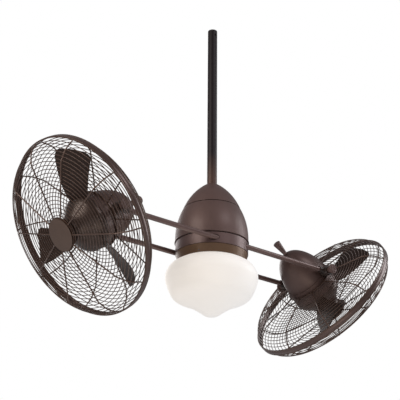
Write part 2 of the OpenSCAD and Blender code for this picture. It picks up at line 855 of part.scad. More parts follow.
module blade() {
    n = blade_steps;
    m = blade_rows;
    // finer steps towards the rounded tip
    us = [for (i = [0:n]) sin(90 * i / n)];
    points = [for (i = [0:n], j = [0:m], k = [-1, 1]) blade_point(us[i], j / m, k)];
    at = function (i, j, k) (i * (m + 1) + j) * 2 + k;
    quads = concat(
        [for (i = [0:n - 1], j = [0:m - 1])
            [at(i, j, 1), at(i, j + 1, 1), at(i + 1, j + 1, 1), at(i + 1, j, 1)]],
        [for (i = [0:n - 1], j = [0:m - 1])
            [at(i, j, 0), at(i + 1, j, 0), at(i + 1, j + 1, 0), at(i, j + 1, 0)]],
        [for (i = [0:n - 1]) [at(i, 0, 0), at(i, 0, 1), at(i + 1, 0, 1), at(i + 1, 0, 0)]],
        [for (i = [0:n - 1]) [at(i, m, 0), at(i + 1, m, 0), at(i + 1, m, 1), at(i, m, 1)]],
        [for (j = [0:m - 1]) [at(0, j + 1, 0), at(0, j + 1, 1), at(0, j, 1), at(0, j, 0)]],
        [for (j = [0:m - 1]) [at(n, j, 0), at(n, j, 1), at(n, j + 1, 1), at(n, j + 1, 0)]]
    );
    polyhedron(points, [for (q = quads, h = [1, 2]) [q[0], q[h], q[h + 1]]]);
}

module blade_set(phase) {
    color(dark_bronze) for (k = [0:blades - 1]) rotate([0, 0, phase + 360 * k / blades]) blade();
}

downrod();
rod_coupling();
coupling_pin();
top_cap();
motor_housing();
housing_plate();
center_shaft();
drive_stator();
fixed_race();
thrust_balls();
brush_block();
light_fitter();
fitter_plate();
fitter_screws();
lamp_holder();
bulb();
glass_globe();
swivel_band();
arm_carrier();
arm_clamps();
arm(-1);  // front_arm
arm(1);  // rear_arm
arm_knuckles();
tilt_knobs();
turning_race();
drive_rotor();
slip_ring();
for (side = [-1, 1]) {
    name = side < 0 ? "left_" : "right_";
    head_frame(side) {
        dome();
        knob();
        motor_can();
        can_cover();
        stator();
        bearings();
        trunnions();
        rear_guard();
        rear_rings();
        hoop();
        front_guard();
        front_rings();
        cap_disc();
        spindle();
        hub();
        blade_set(side < 0 ? left_phase : right_phase);
    }
}
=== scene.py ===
# %% [markdown]
# # A ceiling fan with two caged heads
#
# This lesson dresses a ceiling fan whose construction already exists as a fixed frame of named
# parts. The frame says where everything is and what turns with what. Here each visible part gets
# the surface and the finish of the real one: spun bronze-lacquered shells, a wire cage round each
# head, twisted blades and an opal glass globe.
#
# Everything is in metres. +Z is up, +X runs along the two arms, and the photographed side is seen
# from -Y. A size written as `62 * mm` is 62 millimetres.

import json
import math

import bmesh
import bpy
import numpy as np
from mathutils import Matrix, Vector


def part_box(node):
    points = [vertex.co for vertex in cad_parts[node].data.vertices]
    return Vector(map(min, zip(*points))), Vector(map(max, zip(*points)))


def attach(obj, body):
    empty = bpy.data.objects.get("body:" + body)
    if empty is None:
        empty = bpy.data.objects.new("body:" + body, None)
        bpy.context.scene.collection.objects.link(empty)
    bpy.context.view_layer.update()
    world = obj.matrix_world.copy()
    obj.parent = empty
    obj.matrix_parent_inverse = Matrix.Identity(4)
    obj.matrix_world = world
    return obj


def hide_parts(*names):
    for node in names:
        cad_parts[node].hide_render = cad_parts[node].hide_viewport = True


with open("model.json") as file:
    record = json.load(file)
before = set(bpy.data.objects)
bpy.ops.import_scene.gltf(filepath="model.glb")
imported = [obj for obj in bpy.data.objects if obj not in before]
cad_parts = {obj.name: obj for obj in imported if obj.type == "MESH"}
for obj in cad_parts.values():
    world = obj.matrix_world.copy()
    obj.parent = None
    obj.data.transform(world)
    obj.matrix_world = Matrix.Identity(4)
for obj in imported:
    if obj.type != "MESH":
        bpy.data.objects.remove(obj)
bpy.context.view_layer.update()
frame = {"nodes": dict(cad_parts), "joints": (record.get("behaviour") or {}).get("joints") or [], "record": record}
mm = 0.001
SIDES = ("left", "right")
joints = {joint["name"]: joint for joint in frame["joints"]}
print("nodes in the frame:", len(frame["nodes"]))

# %% [markdown]
# ## The camera
#
# The camera was worked out from the photograph: the long sides of the cage hoops, the two arms and
# the seams of the housing all have known shapes, so one position, aim and focal length fits them
# all. It stands 2.34 m away, left of the middle, and looks up at the fan. It is rolled by half a
# degree.

# %% Place the camera
CAMERA_AT = Vector((-1.3595, -1.6669, -1.4682))
CAMERA_YAW = math.radians(38.4)
CAMERA_PITCH = math.radians(24.1)
CAMERA_ROLL = math.radians(0.57)
FOCAL_PIXELS = 932.6
PICTURE_PIXELS = 400
SENSOR_MM = 36
FARTHEST_SEEN = 50


def aimed_matrix(place, yaw, pitch, roll):
    """Camera matrix: yaw turns from +Y towards +X, pitch lifts the aim, roll turns about it."""
    level = math.cos(pitch)
    aim = Vector((math.sin(yaw) * level, math.cos(yaw) * level, math.sin(pitch)))
    right = Vector((math.cos(yaw), -math.sin(yaw), 0))
    up = right.cross(aim)
    right, up = (
        right * math.cos(roll) + up * math.sin(roll),
        up * math.cos(roll) - right * math.sin(roll),
    )
    turned_axes = Matrix((right, up, -aim)).transposed().to_4x4()
    return Matrix.Translation(place) @ turned_axes


camera_data = bpy.data.cameras.new("camera")
camera_data.sensor_width = SENSOR_MM
camera_data.lens = FOCAL_PIXELS * SENSOR_MM / PICTURE_PIXELS
camera_data.clip_end = FARTHEST_SEEN
camera = bpy.data.objects.new("camera", camera_data)
camera.matrix_world = aimed_matrix(CAMERA_AT, CAMERA_YAW, CAMERA_PITCH, CAMERA_ROLL)
bpy.context.collection.objects.link(camera)
bpy.context.scene.camera = camera
bpy.context.scene.view_settings.view_transform = "Standard"
print("lens", round(camera_data.lens, 2), "mm")

# %% [markdown]
# ## Surfaces from arrays
#
# Nearly everything on this fan is turned on a lathe, bent from wire or pressed from sheet. Such
# shapes are functions of two parameters, so each is worked out as one numpy grid of points. The
# helpers below turn a grid into a mesh. Neighbouring grid points become the corners of a face, a
# closed direction joins its last points to its first, and points that fall together at a pole are
# merged, which closes it. Screw modifiers and curves could make much of this too, but formulas
# also cover the blades and bent wires, and keep every size in sight.

# %% Grid to mesh
MERGE_WITHIN = 0.01 * mm
FLAT_WITHIN = 0.005 * mm
SMOOTH_UP_TO = math.radians(32)


def fill_mesh(mesh, points, quads):
    """Puts points (n, 3) and four-cornered faces (m, 4) into a mesh as whole arrays."""
    starts = np.arange(0, quads.size, quads.shape[1], dtype=np.int32)
    mesh.vertices.add(len(points))
    mesh.vertices.foreach_set("co", points.astype(np.float32).ravel())
    mesh.loops.add(quads.size)
    mesh.loops.foreach_set("vertex_index", quads.astype(np.int32).ravel())
    mesh.polygons.add(len(quads))
    mesh.polygons.foreach_set("loop_start", starts)
    mesh.update(calc_edges=True)


def grid_faces(rows, columns, close_rows, close_columns):
    """Faces (m, 4) of one grid whose point (i, j) has the number i * columns + j."""
    i = np.arange(rows if close_rows else rows - 1)[:, None]
    j = np.arange(columns if close_columns else columns - 1)[None, :]
    row, next_row = i * columns, (i + 1) % rows * columns
    next_j = (j + 1) % columns
    corners = (row + j, next_row + j, next_row + next_j, row + next_j)
    return np.stack(np.broadcast_arrays(*corners), -1).reshape(-1, 4)


def tidy_mesh(mesh):
    """Merges doubled points, drops faces without area, and turns all faces outwards."""
    work = bmesh.new()
    work.from_mesh(mesh)
    bmesh.ops.remove_doubles(work, verts=work.verts, dist=MERGE_WITHIN)
    bmesh.ops.dissolve_degenerate(work, edges=work.edges, dist=FLAT_WITHIN)
    bmesh.ops.recalc_face_normals(work, faces=work.faces)
    work.to_mesh(mesh)
    work.free()
    mesh.polygons.foreach_set("use_smooth", np.ones(len(mesh.polygons), dtype=bool))
    mesh.set_sharp_from_angle(angle=SMOOTH_UP_TO)


def make_piece(name, points, quads, material, body, replaces=()):
    """One piece: its mesh, its finish, the body it moves with and the nodes it stands for."""
    mesh = bpy.data.meshes.new(name)
    fill_mesh(mesh, points, quads)
    tidy_mesh(mesh)
    mesh.materials.append(material)
    piece = bpy.data.objects.new(name, mesh)
    bpy.context.collection.objects.link(piece)
    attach(piece, body)
    if replaces:
        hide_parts(*replaces)
    print(name, len(mesh.polygons), "faces")
    return piece


# %% [markdown]
# ## Outlines
#
# A lathe outline is a short list of (radius, height) points with arcs between some of them. Real
# sheet and castings have no knife edges, so `eased` rounds every corner of an outline with a small
# curve. A Bevel modifier would do it in the finished mesh, with many more edges to sort.

# %% Arcs and eased corners
SHARP_CORNER = math.cos(math.radians(24))
NEARLY_HALF = 0.45
SHORTEST = 1e-9


def arc_through(a, b, c, steps, inset=0.0):
    """Points of the circle through a, b and c, from a to c; inset moves them to its centre."""
    (ax, ay), (bx, by), (cx, cy) = a, b, c
    d = 2 * (ax * (by - cy) + bx * (cy - ay) + cx * (ay - by))
    a2, b2, c2 = ax * ax + ay * ay, bx * bx + by * by, cx * cx + cy * cy
    x = (a2 * (by - cy) + b2 * (cy - ay) + c2 * (ay - by)) / d
    y = (a2 * (cx - bx) + b2 * (ax - cx) + c2 * (bx - ax)) / d
    radius = math.hypot(ax - x, ay - y) - inset
    first = math.atan2(ay - y, ax - x)
    sweep = (math.atan2(cy - y, cx - x) - first + math.pi) % (2 * math.pi) - math.pi
    t = first + sweep * np.linspace(0, 1, steps + 1)
    return np.stack((x + radius * np.cos(t), y + radius * np.sin(t)), -1)


def corner_curve(start, corner, end, t):
    """The curve (1-t)^2 start + 2 t (1-t) corner + t^2 end, which rounds a corner."""
    return (1 - t) ** 2 * start + 2 * t * (1 - t) * corner + t**2 * end


def eased(outline, radius, closed=True, steps=5):
    """Outline with every sharp corner replaced by a curve that starts and ends radius away.

    The curve's ends lie on the two sides of the corner, or nearly half way along a short side.
    Corners of arcs stay as they are.
    """
    p = np.asarray(outline, float)
    before = np.roll(p, 1, 0) - p
    after = np.roll(p, -1, 0) - p
    before_length = np.maximum(np.linalg.norm(before, axis=1), SHORTEST)
    after_length = np.maximum(np.linalg.norm(after, axis=1), SHORTEST)
    sharp = -(before * after).sum(1) / (before_length * after_length) < SHARP_CORNER
    if not closed:
        sharp[[0, -1]] = False
    reach = np.minimum(radius, NEARLY_HALF * np.minimum(before_length, after_length))
    start = p + before * (reach / before_length)[:, None]
    end = p + after * (reach / after_length)[:, None]
    t = np.linspace(0, 1, steps)[None, :, None]
    curve = corner_curve(start[:, None], p[:, None], end[:, None], t)
    curve[~sharp] = p[~sharp][:, None]
    return curve[sharp[:, None] | (np.arange(steps) == 0)]


# %% [markdown]
# `turned` carries an outline round the axis as a lathe does: the point at angle t is
# (r cos t, r sin t, z). A shell's outline is closed, and a solid's outline starts and ends on the
# axis instead, where its points merge to a pole.

# %% Turned pieces
ROUND_STEPS = 96
FINE_ROUND_STEPS = 128


def around(steps):
    """Angles of so many equal steps once round."""
    return np.linspace(0, 2 * math.pi, steps, endpoint=False)


def turned(outline, steps=ROUND_STEPS):
    """Grid (steps, points, 3): the outline's (radius, height) points carried round Z."""
    outline = np.asarray(outline, float)
    t = around(steps)[:, None]
    r = outline[None, :, 0]
    z = np.broadcast_to(outline[None, :, 1], (steps, len(outline)))
    return np.stack((r * np.cos(t), r * np.sin(t), z), -1)


def lathe(
    name, outline, material, slot, body, place=None, replaces=(), steps=ROUND_STEPS, closed=True
):
    """A turned piece. closed joins the outline's ends, which gives a shell its inner wall."""
    grid = turned(outline, steps)
    points = grid.reshape(-1, 3)
    if place is not None:
        points = place(points)
    quads = grid_faces(*grid.shape[:2], True, closed)
    return make_piece(name, points, quads, material, body, replaces)


# %% [markdown]
# ## Shader arithmetic
#
# A finish is written as a formula. `Value` wraps one socket, so that `0.4 + 0.2 * grain` adds the
# Math nodes it needs. They could be linked one by one, but a formula shows at a glance what a
# finish does.

# %% Values in formulas


class Value:
    """A number that varies over a surface, usable in Python arithmetic."""

    def __init__(self, finish, socket):
        self.finish = finish
        self.socket = socket

    def joined(self, operation, left, right, **settings):
        """A Math node that joins two values or numbers."""
        settings["operation"] = operation
        return self.finish.add("ShaderNodeMath", settings, {0: left, 1: right})

    def __add__(self, other):
        return self.joined("ADD", self, other)

    def __radd__(self, other):
        return self.joined("ADD", other, self)

    def __sub__(self, other):
        return self.joined("SUBTRACT", self, other)

    def __mul__(self, other):
        return self.joined("MULTIPLY", self, other)

    def __rmul__(self, other):
        return self.joined("MULTIPLY", other, self)

    def clipped(self):
        """The value held between 0 and 1."""
        return self.joined("ADD", self, 0.0, use_clamp=True)


# %% [markdown]
# `Finish` owns a material and adds any other node from one method: its settings come first, then
# the values or links of its sockets. Its short methods cover what the finishes share. All patterns
# lie on Object coordinates, so they have no seams and move with their piece.

# %% Material builder


class Finish:
    """One material, built from a Principled shader and whatever feeds it."""

    def __init__(self, name, **constants):
        self.material = bpy.data.materials.new(name)
        self.material.use_nodes = True
        self.tree = self.material.node_tree
        self.tree.nodes.clear()
        self.shader = self.tree.nodes.new("ShaderNodeBsdfPrincipled")
        output = self.tree.nodes.new("ShaderNodeOutputMaterial")
        self.tree.links.new(self.shader.outputs["BSDF"], output.inputs["Surface"])
        for socket, value in constants.items():
            self.shader.inputs[socket.replace("_", " ")].default_value = value
        self.object_place = self.add("ShaderNodeTexCoord", {}, {}, "Object")

    def add(self, kind, settings, inputs, output=0):
        """Adds a node: settings are its properties, inputs its sockets by name or number."""
        node = self.tree.nodes.new(kind)
        for name, value in settings.items():
            if name == "stops":
                self.set_stops(node.color_ramp, value)
            else:
                setattr(node, name, value)
        for key, value in inputs.items():
            if isinstance(value, Value):
                self.tree.links.new(value.socket, node.inputs[key])
            else:
                node.inputs[key].default_value = value
        return Value(self, node.outputs[output])

    @staticmethod
    def set_stops(ramp, stops):
        """Sets a colour ramp's stops, each a (position, colour) pair."""
        while len(ramp.elements) < len(stops):
            ramp.elements.new(1.0)
        for element, (position, colour) in zip(ramp.elements, stops):
            element.position = position
            element.color = (*colour, 1.0)

    def along(self, axis):
        """Place along one axis of Object coordinates, in metres."""
        return self.add("ShaderNodeSeparateXYZ", {}, {"Vector": self.object_place}, axis)

    def noise(self, scale, detail=3.0, stretch=(1, 1, 1)):
        """Smooth noise from 0 to 1 on Object coordinates; scale counts its features per metre."""
        place = self.add(
            "ShaderNodeMapping", {}, {"Vector": self.object_place, "Scale": stretch}
        )
        inputs = {"Vector": place, "Scale": scale, "Detail": detail, "Roughness": 0.55}
        return self.add("ShaderNodeTexNoise", {}, inputs)

    def ramp(self, factor, *stops):
        """A colour ramp over a factor."""
        return self.add("ShaderNodeValToRGB", {"stops": stops}, {"Fac": factor})

    def feed(self, socket, value):
        """Links a value to one of the shader's sockets."""
        self.tree.links.new(value.socket, self.shader.inputs[socket])

    def colour(self, factor, dark, light, low=0.3, high=0.7):
        """Colours the surface: dark where factor is under low, light where it is over high."""
        self.feed("Base Color", self.ramp(factor, (low, dark), (high, light)))

    def bump(self, height, distance):
        """Bumps the surface by height times distance in metres."""
        inputs = {"Height": height, "Distance": distance, "Strength": 1.0}
        self.feed("Normal", self.add("ShaderNodeBump", {}, inputs))


# %% [markdown]
# ## The finishes
#
# The fan is sprayed with an "oil-rubbed bronze" lacquer: a dark brown with fine metal flake, satin
# clear on top, a little uneven in tone where the spray lies thicker. Three things carry that look:
# a slow change of brown over a hand's width, a fine flake that varies the roughness, and the faint
# orange-peel skin of sprayed lacquer, a few hundredths of a millimetre deep.
#
# The pieces were sprayed and rubbed one by one, so they differ a little. The big spun shells
# are matt, the domes, band, hoops and arms are glossier, the blades are nearly black, and the cast
# knuckles have the deepest skin. Some tones are painted light: the fitter's warmer brown is a
# painted reflection of the globe, the arms are lighter as painted light from the front and above,
# and the knuckles are near black as painted shade. Each gets its own two tones.

# %% Bronze lacquer
DRIFT_SCALE = 7.0
CLOUD_SCALE = 46.0
FLAKE_SCALE = 2600.0
SKIN_SCALE = 750.0
SKIN = 0.02 * mm
FINE_SKIN = 0.01 * mm
CAST_SKIN = 0.06 * mm


def bronze_lacquer(name, dark, light, metallic, roughness, skin=SKIN, coat=0.25):
    """Sprayed bronze: the tone is 0.7 drift + 0.3 cloud + 0.12 flake, between dark and light.

    The roughness is its mean plus 0.10 cloud + 0.12 flake, with both taken from their middle.
    """
    finish = Finish(name, Metallic=metallic, Coat_Weight=coat, Coat_Roughness=0.28)
    drift = finish.noise(DRIFT_SCALE, 2.0)
    cloud = finish.noise(CLOUD_SCALE, 3.0)
    flake = finish.noise(FLAKE_SCALE, 1.0)
    finish.colour((0.7 * drift + 0.3 * cloud + 0.12 * (flake - 0.5)).clipped(), dark, light)
    uneven = roughness + 0.10 * (cloud - 0.5) + 0.12 * (flake - 0.5)
    finish.feed("Roughness", uneven.clipped())
    finish.bump(finish.noise(SKIN_SCALE, 2.0), skin)
    return finish.material


shell_bronze = bronze_lacquer(
    "bronze_lacquer", (0.096, 0.056, 0.048), (0.124, 0.075, 0.066), 0.45, 0.54, coat=0.15
)
dome_bronze = bronze_lacquer(
    "dome_bronze_lacquer", (0.072, 0.040, 0.033), (0.094, 0.054, 0.045), 0.5, 0.44, coat=0.2
)
wire_bronze = bronze_lacquer(
    "wire_bronze_lacquer", (0.064, 0.035, 0.024), (0.088, 0.049, 0.035), 0.45, 0.34, FINE_SKIN
)
blade_bronze = bronze_lacquer(
    "blade_bronze_lacquer", (0.022, 0.011, 0.007), (0.030, 0.016, 0.011), 0.5, 0.46, coat=0.0
)
# Painted reflection: the fitter's warmer, lighter brown paints the warm globe below, which its downward cone
# mirrors.
fitter_painted_reflection_bronze = bronze_lacquer(
    "fitter_bronze_lacquer", (0.124, 0.069, 0.036), (0.154, 0.087, 0.048), 0.45, 0.48
)
rotor_bronze = bronze_lacquer(
    "rotor_bronze_lacquer", (0.044, 0.026, 0.019), (0.060, 0.037, 0.028), 0.55, 0.3
)
band_bronze = bronze_lacquer(
    "band_bronze_lacquer", (0.094, 0.055, 0.049), (0.122, 0.074, 0.068), 0.5, 0.46, coat=0.2
)
hoop_bronze = bronze_lacquer(
    "hoop_bronze_lacquer", (0.066, 0.038, 0.031), (0.088, 0.052, 0.044), 0.5, 0.32, FINE_SKIN
)
# Painted light: the arms' lighter brown paints the light that falls on them from the front and above.
arm_painted_light_bronze = bronze_lacquer(
    "arm_bronze_lacquer", (0.118, 0.070, 0.061), (0.146, 0.090, 0.080), 0.45, 0.36, FINE_SKIN
)
disc_bronze = bronze_lacquer(
    "disc_bronze_lacquer", (0.078, 0.049, 0.037), (0.100, 0.065, 0.050), 0.45, 0.48, coat=0.15
)
# Painted shade: the near black of the knuckles and trunnions paints the shade in the tilt joints.
casting_painted_shade_bronze = bronze_lacquer(
    "casting_bronze_lacquer", (0.030, 0.019, 0.015), (0.044, 0.028, 0.023), 0.4, 0.42, CAST_SKIN
)
print("bronze lacquers ready")

# %% [markdown]
# The downrod is darker than the shells: its near black is a painted reflection of dark
# surroundings that its upright side mirrors. Its lowest 90 mm turn as brown as the rest, a painted
# reflection of the brown cap just below. Two materials would meet in a hard line, so one tone
# follows the height.

# %% Downrod lacquer
# Painted reflections: dark surroundings up the rod, the brown cap towards its lower end.
ROD_CAP_REFLECTION_FROM = -0.375
ROD_CAP_REFLECTION_TO = -0.465
ROD_DARK_REFLECTION = (0.008, 0.004, 0.005)
ROD_CAP_REFLECTION = (0.074, 0.038, 0.028)


def rod_lacquer():
    """Painted dark reflection that turns to the brown cap's painted reflection near the lower end."""
    finish = Finish("rod_lacquer", Metallic=0.3, Specular_IOR_Level=0.35)
    cloud = finish.noise(40.0, 2.0)
    cap_reflection = (finish.along("Z") - ROD_CAP_REFLECTION_FROM) * (1 / (ROD_CAP_REFLECTION_TO - ROD_CAP_REFLECTION_FROM))
    tone = (cap_reflection + 0.3 * (cloud - 0.5)).clipped()
    finish.colour(tone, ROD_DARK_REFLECTION, ROD_CAP_REFLECTION, low=0.0, high=1.0)
    finish.feed("Roughness", 0.44 + 0.08 * cloud)
    finish.bump(finish.noise(SKIN_SCALE, 2.0), SKIN)
    return finish.material


rod_bronze = rod_lacquer()
print("downrod lacquer ready")

# %% [markdown]
# The globe is cased opal glass: a thin milky layer inside clear glass, etched matt outside. Clear
# glass round a milky volume could be rendered as such, but milk this dense hides all behind it, so
# a near white body with a little subsurface scattering looks the same without noise. A faint
# painted glow, though the globe's lamp is off, paints the light that the studio passes through such
# glass, warmer on the left as painted light of the warm soft box there. Towards the tip the tone is
# a little greyer, as painted shade on the globe's downward end.

# %% Opal glass
# Painted light: the glow paints light through the glass, warmer on the left where the warm soft box stands.
GLOW = 0.455
GLOW_WIDTH = 0.2
GLOW_AT_MIDDLE = 0.45
PAINTED_WARM_GLOW = (0.985, 0.905, 0.815)
PAINTED_WHITE_GLOW = (1.0, 1.0, 1.0)
TIP_SHADE_FROM_Z = -0.74
TIP_SHADE_FULL_Z = -0.85
TIP_PAINTED_SHADE = (0.345, 0.352, 0.36)
OPAL_BODY_WHITE = (0.487, 0.475, 0.46)
BLOWN_RIPPLE = 0.15 * mm


def opal_glass():
    """Matt milky glass: its painted glow follows X; a painted shade greys its tip along Z, with a slow noise."""
    finish = Finish(
        "opal_glass",
        Roughness=0.5,
        IOR=1.5,
        Subsurface_Weight=0.25,
        Subsurface_Scale=0.02,
        Subsurface_Radius=(1.0, 0.9, 0.8),
        Emission_Strength=GLOW,
    )
    side = (GLOW_AT_MIDDLE + finish.along("X") * (1 / GLOW_WIDTH)).clipped()
    finish.feed("Emission Color", finish.ramp(side, (0.0, PAINTED_WARM_GLOW), (1.0, PAINTED_WHITE_GLOW)))
    # Painted shade: the tone greys towards the downward tip, with a slow random cloudiness mixed in.
    thickness = (finish.along("Z") - TIP_SHADE_FULL_Z) * (1 / (TIP_SHADE_FROM_Z - TIP_SHADE_FULL_Z))
    cloud_and_tip_shade = (thickness + 0.3 * (finish.noise(9.0, 2.0) - 0.5)).clipped()
    finish.colour(cloud_and_tip_shade, TIP_PAINTED_SHADE, OPAL_BODY_WHITE, low=0.0, high=1.0)
    finish.bump(finish.noise(30.0, 2.0), BLOWN_RIPPLE)
    return finish.material


opal = opal_glass()
print("opal glass ready")

# %% [markdown]
# Inside the housings are steel, copper, brass and plastic. They hardly show, but each still gets
# its own finish: turned steel has fine rings round its axis, so its roughness follows a noise that
# is stretched along Z; laminations are thin stacked sheets, which is a wave along Z.

# %% Metals and plastics of the inner parts
TURNING_MARKS = (1, 1, 40)
SHEETS_SCALE = 320.0


def turned_steel():
    """Steel with fine turning marks: noise squeezed along Z varies roughness and relief."""
    finish = Finish("turned_steel", Metallic=1.0)
    marks = finish.noise(60.0, stretch=TURNING_MARKS)
    finish.colour(marks, (0.42, 0.42, 0.43), (0.56, 0.56, 0.57))
    finish.feed("Roughness", 0.24 + 0.16 * marks)
    finish.bump(marks, 0.01 * mm)
    return finish.material


def motor_iron():
    """Stacked motor sheets: a wave along Z makes the edges of 0.5 mm laminations."""
    finish = Finish("motor_iron", Metallic=0.7)
    inputs = {"Vector": finish.object_place, "Scale": SHEETS_SCALE, "Distortion": 0.4}
    sheets = finish.add("ShaderNodeTexWave", {"bands_direction": "Z"}, inputs)
    tone = finish.noise(40.0)
    finish.colour(tone, (0.20, 0.12, 0.07), (0.33, 0.20, 0.11))
    finish.feed("Roughness", 0.42 + 0.2 * tone)
    finish.bump(sheets, 0.05 * mm)
    return finish.material


def slip_brass():
    """Brass tracks, rubbed a little brighter in patches by a fine noise."""
    finish = Finish("slip_brass", Metallic=1.0)
    rub = finish.noise(300.0, 2.0)
    finish.colour(rub, (0.55, 0.38, 0.14), (0.75, 0.56, 0.26))
    finish.feed("Roughness", 0.2 + 0.25 * rub)
    return finish.material


def moulded_plastic():
    """Cream insulating plastic with a fine moulded texture."""
    finish = Finish("moulded_plastic", Specular_IOR_Level=0.4)
    tone = finish.noise(25.0)
    finish.colour(tone, (0.62, 0.59, 0.52), (0.70, 0.67, 0.60))
    finish.feed("Roughness", 0.5 + 0.1 * tone)
    finish.bump(finish.noise(1400.0, 2.0), 0.02 * mm)
    return finish.material


# %% [markdown]
# The frame's own nodes keep their shapes and take these finishes by the material slot that the
# record gives each of them. Some nodes share a slot but are named with a finish of their own: the
# downrod for its painted reflections, the fitter for its painted warm reflection, the arms for their
# painted light, the knuckles and trunnions for their painted shade, and the band, cans and cap discs
# for their own gloss and tone.

# %% Finish the frame's nodes
SLOT_FINISH = {
    "bronze": shell_bronze,
    "dark_bronze": casting_painted_shade_bronze,
    "steel": turned_steel(),
    "laminations": motor_iron(),
    "contact_brass": slip_brass(),
    "insulator": moulded_plastic(),
    "opal_glass": opal,
    "blade": blade_bronze,
}
OWN_FINISH = {
    "downrod": rod_bronze,
    "light_fitter": fitter_painted_reflection_bronze,
    "swivel_band": band_bronze,
    "front_arm": arm_painted_light_bronze,
    "rear_arm": arm_painted_light_bronze,
    "arm_knuckles": casting_painted_shade_bronze,
}
for side in SIDES:
    OWN_FINISH[f"{side}_motor_can"] = dome_bronze
    OWN_FINISH[f"{side}_trunnions"] = casting_painted_shade_bronze
    OWN_FINISH[f"{side}_cap_disc"] = disc_bronze

for part in frame["record"]["subparts"]:
    node = frame["nodes"][part["node"]]
    node_finish = OWN_FINISH.get(part["node"], SLOT_FINISH[part["material_slot"]])
    node.data.materials.clear()
    node.data.materials.append(node_finish)

# %% [markdown]
# ## The housing over the arms
#
# The cap and the housing are spun from 1.6 mm sheet: a disc is pressed against a turning form
# until it takes its shape. So each is a thin shell with an outer and an inner wall, and the
# housing ends in a rolled bead. A Solidify modifier could give the wall, but both edges would
# come out plain, so the outline holds both walls. It starts from the boxes of the frame's nodes,
# and its curves are arcs through three points, which is how a spinning form is drawn.

# %% Cap
SHEET = 1.6 * mm
SHEET_EDGE = 0.5 * mm
SEAM_GAP = 1.6 * mm
CAP_TOP_R = 14.8 * mm
# Where the cap's arc passes, as shares of the seam's radius and the cap's height
CAP_SHOULDER = (0.74, 0.486)


def node_size(node):
    """Lower height, upper height and outer radius of a node that is turned round the Z axis."""
    low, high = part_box(node)
    return low.z, high.z, (high.x - low.x) / 2


def closed_shell(outer, inner):
    """Outline of a sheet shell: down the outer wall and back up the inner one."""
    return np.concatenate((outer, inner[::-1]))


z_seam, z_cap, seam_r = node_size("top_cap")
cap_h = z_cap - z_seam


def cap_wall(inset):
    """The cap's arc from its seam over the shoulder to the rod, cut off at the rod's clearance."""
    shoulder = (seam_r * CAP_SHOULDER[0], z_seam + cap_h * CAP_SHOULDER[1])
    wall = arc_through((seam_r, z_seam), shoulder, (CAP_TOP_R, z_cap), 96, inset)
    return wall[(wall[:, 0] >= CAP_TOP_R - SHEET) & (wall[:, 1] > z_seam + SEAM_GAP / 2)]


lathe(
    "cap_shell",
    eased(closed_shell(cap_wall(0), cap_wall(SHEET)), SHEET_EDGE),
    shell_bronze,
    "bronze",
    "fixed_body",
    replaces=["top_cap"],
)

# %% Housing
BEAD_R = 1.4 * mm
HOUSING_R = 91 * mm
STRAIGHT_H = 14 * mm
z_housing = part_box("motor_housing")[0].z
z_bead = z_housing + 2 * BEAD_R
print("cap", round(cap_h / mm, 1), "mm, housing", round((z_seam - z_housing) / mm, 1), "mm high")


def housing_r(z):
    """Radius of the housing at height z: an arc that ends upright above its straight part."""
    width, height = HOUSING_R - seam_r, z_seam - z_housing - STRAIGHT_H
    big = (width**2 + height**2) / (2 * width)
    rise = np.maximum(z - z_housing - STRAIGHT_H, 0)
    return HOUSING_R - big + np.sqrt(big**2 - rise**2)


def housing_wall(low, inset):
    """The housing's side from just under the seam down to the height low."""
    z = np.linspace(z_seam - SEAM_GAP / 2, low, 48)
    return np.stack((housing_r(z) - inset, z), -1)


bead_side = (HOUSING_R + BEAD_R, z_housing + BEAD_R)
bead = arc_through((HOUSING_R, z_bead), bead_side, (HOUSING_R, z_housing), 10)
housing_outer = np.concatenate((housing_wall(z_bead, 0)[:-1], bead))
lathe(
    "housing_shell",
    eased(closed_shell(housing_outer, housing_wall(z_housing, SHEET)), SHEET_EDGE),
    shell_bronze,
    "bronze",
    "fixed_body",
    replaces=["motor_housing"],
)

# %% [markdown]
# ## The globe
#
# The globe is blown into a mould: a straight neck that the fitter's three screws hold, a round
# shoulder, a full belly and a flared foot that ends in a drop-shaped tip. The wall is 2.5 mm
# thick, so the outline goes down the outside and comes back up the inside, and its ends meet at
# the neck. Blown glass has no corners: where two arcs meet, the joint is cut back and rounded.

# %% Globe
GLASS = 2.5 * mm
NECK_R = 76 * mm
NECK_TURN = 1.5 * mm
# Shoulder: outwards from the neck and under the fitter, then inwards from the belly
SHOULDER_FROM = (6 * mm, 1.6 * mm)
SHOULDER_OVER = (9.5 * mm, 14 * mm)
BELLY_DROP = 45 * mm
BELLY_IN = 7.5 * mm
HIP_R = 93 * mm
HIP_DROP = 47.3 * mm
HIP_CUT = 11 * mm
FLARE_SAG = 3.4 * mm
BUTTON_R = 37.6 * mm
BUTTON_ANGLE = math.radians(40)
z_globe, z_neck, globe_r = node_size("glass_globe")
z_fitter_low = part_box("light_fitter")[0].z
z_belly = z_fitter_low - BELLY_DROP
z_hip = z_belly - HIP_DROP


def rounded_joint(first, second, cut, steps=10):
    """Joins two paths that meet at a corner by a curve that starts and ends about cut away."""
    corner = first[-1]
    first = first[np.linalg.norm(first - corner, axis=1) > cut]
    second = second[np.linalg.norm(second - second[0], axis=1) > cut]
    t = np.linspace(0, 1, steps + 2)[1:-1, None]
    return np.concatenate((first, corner_curve(first[-1], corner, second[0], t), second))


def softened(path):
    """Path whose corners are cut at a quarter of their sides: points at 1/4 and 3/4 of each."""
    a, b = path[:-1], path[1:]
    cut = np.stack((0.75 * a + 0.25 * b, 0.25 * a + 0.75 * b), 1).reshape(-1, 2)
    return np.concatenate((path[:1], cut, path[-1:]))


